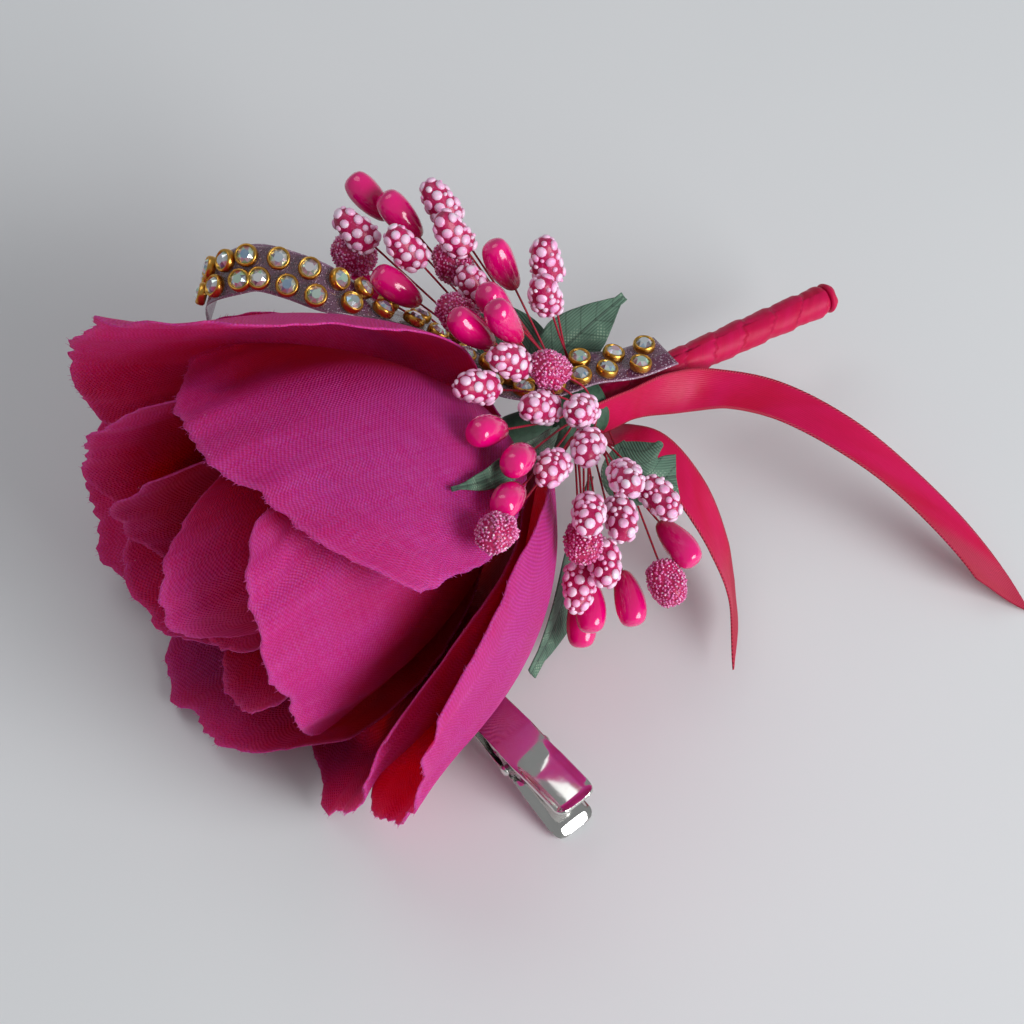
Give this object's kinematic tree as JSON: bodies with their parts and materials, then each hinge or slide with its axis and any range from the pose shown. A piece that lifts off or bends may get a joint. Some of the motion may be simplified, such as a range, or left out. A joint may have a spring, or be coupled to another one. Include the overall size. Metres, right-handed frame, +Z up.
{
  "type": "pin-on corsage",
  "caption": "Pin-on corsage: a fabric rose with stamen berries, leaves, a rhinestone band, satin ribbon tails, a wrapped wire stem and an alligator clip.",
  "frame": {"origin": "middle of the part's box at table level, where the corsage lies on its lower petals", "axes": "+X towards the stem end and the long ribbon tail, +Y away from the clip's handles, +Z up from the table"},
  "size_m": [0.1568, 0.1028, 0.0719],
  "materials": {
    "petal_fabric": "woven polyester satin, magenta, with cut edges",
    "satin_ribbon": "satin ribbon, deep pink",
    "gloss_pip": "glossy lacquer",
    "dotted_berry": "foam berry with pale dots",
    "sugar_berry": "foam berry with fine clear grains",
    "leaf_fabric": "woven net-like fabric, dark green",
    "clear_tape": "clear plastic tape",
    "gold_cups": "polished gold colour, with clear stones",
    "nickel_steel": "polished nickel plate",
    "binding_tape": "green floral tape"
  },
  "bodies": {
    "corsage": {"petal_top": "petal_fabric", "petal_upper_back": "petal_fabric", "petal_far_left": "petal_fabric", "petal_low_left": "petal_fabric", "petal_bottom": "petal_fabric", "petal_right_droop": "petal_fabric", "petal_front": "petal_fabric", "petal_inner_back": "petal_fabric", "petal_inner_left": "petal_fabric", "petal_inner_low": "petal_fabric", "petal_heart_back": "petal_fabric", "petal_heart_low": "petal_fabric", "petal_heart": "petal_fabric", "petal_bud": "petal_fabric", "stem_core": "binding_tape", "spray_binding": "binding_tape", "stem_wrap": "satin_ribbon", "stem_end_fold": "satin_ribbon", "stamen_pip_01": "gloss_pip", "stamen_pip_02": "gloss_pip", "stamen_pip_03": "gloss_pip", "stamen_pip_04": "gloss_pip", "stamen_pip_05": "gloss_pip", "stamen_pip_06": "gloss_pip", "stamen_pip_07": "gloss_pip", "stamen_pip_08": "gloss_pip", "stamen_dotted_01": "dotted_berry", "stamen_dotted_02": "dotted_berry", "stamen_dotted_03": "dotted_berry", "stamen_dotted_04": "dotted_berry", "stamen_dotted_05": "dotted_berry", "stamen_dotted_06": "dotted_berry", "stamen_dotted_07": "dotted_berry", "stamen_dotted_08": "dotted_berry", "stamen_dotted_09": "dotted_berry", "stamen_dotted_10": "dotted_berry", "stamen_sugar_01": "sugar_berry", "stamen_sugar_02": "sugar_berry", "stamen_sugar_03": "sugar_berry", "stamen_sugar_04": "sugar_berry", "stamen_sugar_05": "sugar_berry", "stamen_sugar_06": "sugar_berry", "leaf_upper": "leaf_fabric", "leaf_lower": "leaf_fabric", "leaf_back": "leaf_fabric", "leaf_centre": "leaf_fabric", "leaf_long": "leaf_fabric", "ribbon_tail_long": "satin_ribbon", "ribbon_tail_short": "satin_ribbon", "rhinestone_tape": "clear_tape", "rhinestone_cups": "gold_cups", "clip_upper_jaw": "nickel_steel", "clip_pin": "nickel_steel", "clip_spring": "nickel_steel"},
    "lower_jaw": {"clip_lower_jaw": "nickel_steel"}
  },
  "joints": [
    {"name": "clip_opening", "type": "hinge", "parent": "corsage", "child": "lower_jaw", "pos_m": [-0.00525, -0.03279, 0.00653], "axis": [-0.7716, -0.6361, 0], "range_deg": [0, 30], "stiffness_Nm_per_rad": 0.02, "springref_deg": -51.57, "deforming": ["clip_spring"]}
  ]
}
